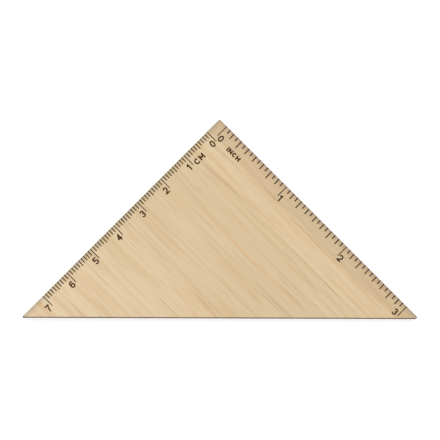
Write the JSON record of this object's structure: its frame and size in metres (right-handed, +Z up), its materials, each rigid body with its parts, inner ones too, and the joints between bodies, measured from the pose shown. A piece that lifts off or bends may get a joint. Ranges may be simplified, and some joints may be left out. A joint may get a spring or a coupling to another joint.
{
  "type": "triangular scale ruler",
  "caption": "Flat right-angled set square of glued bamboo strips, engraved with a centimetre scale and an inch scale along its two equal sides.",
  "frame": {"origin": "under the middle of the outline's box, on the face that the ruler rests on", "axes": "+X along the long side, +Y towards the right-angled corner, +Z up out of the engraved face"},
  "size_m": [0.1184, 0.0594, 0.003],
  "materials": {
    "bamboo_01": "sanded, with a thin clear matt finish; laser-burnt on the cut edges",
    "bamboo_02": "sanded, with a thin clear matt finish; laser-burnt on the cut edges",
    "bamboo_03": "sanded, with a thin clear matt finish; laser-burnt on the cut edges",
    "bamboo_04": "sanded, with a thin clear matt finish; laser-burnt on the cut edges",
    "bamboo_05": "sanded, with a thin clear matt finish; laser-burnt on the cut edges",
    "bamboo_06": "sanded, with a thin clear matt finish; laser-burnt on the cut edges",
    "bamboo_07": "sanded, with a thin clear matt finish; laser-burnt on the cut edges",
    "bamboo_08": "sanded, with a thin clear matt finish; laser-burnt on the cut edges",
    "bamboo_09": "sanded, with a thin clear matt finish; laser-burnt on the cut edges",
    "bamboo_10": "sanded, with a thin clear matt finish; laser-burnt on the cut edges",
    "bamboo_11": "sanded, with a thin clear matt finish; laser-burnt on the cut edges",
    "bamboo_12": "sanded, with a thin clear matt finish; laser-burnt on the cut edges",
    "glue": "cured amber adhesive, sanded flush",
    "burnt_bamboo": "charred by the laser, matt"
  },
  "bodies": {
    "root": {"bamboo_strip_01": "bamboo_01", "bamboo_strip_02": "bamboo_02", "bamboo_strip_03": "bamboo_03", "bamboo_strip_04": "bamboo_04", "bamboo_strip_05": "bamboo_05", "bamboo_strip_06": "bamboo_06", "bamboo_strip_07": "bamboo_07", "bamboo_strip_08": "bamboo_08", "bamboo_strip_09": "bamboo_09", "bamboo_strip_10": "bamboo_10", "bamboo_strip_11": "bamboo_11", "bamboo_strip_12": "bamboo_12", "glue_line_01": "glue", "glue_line_02": "glue", "glue_line_03": "glue", "glue_line_04": "glue", "glue_line_05": "glue", "glue_line_06": "glue", "glue_line_07": "glue", "glue_line_08": "glue", "glue_line_09": "glue", "glue_line_10": "glue", "glue_line_11": "glue", "cm_millimetre_lines": "burnt_bamboo", "cm_five_millimetre_lines": "burnt_bamboo", "cm_centimetre_lines": "burnt_bamboo", "cm_numerals": "burnt_bamboo", "cm_caption": "burnt_bamboo", "inch_sixteenth_lines": "burnt_bamboo", "inch_eighth_lines": "burnt_bamboo", "inch_quarter_lines": "burnt_bamboo", "inch_whole_lines": "burnt_bamboo", "inch_numerals": "burnt_bamboo", "inch_caption": "burnt_bamboo"}
  },
  "joints": []
}
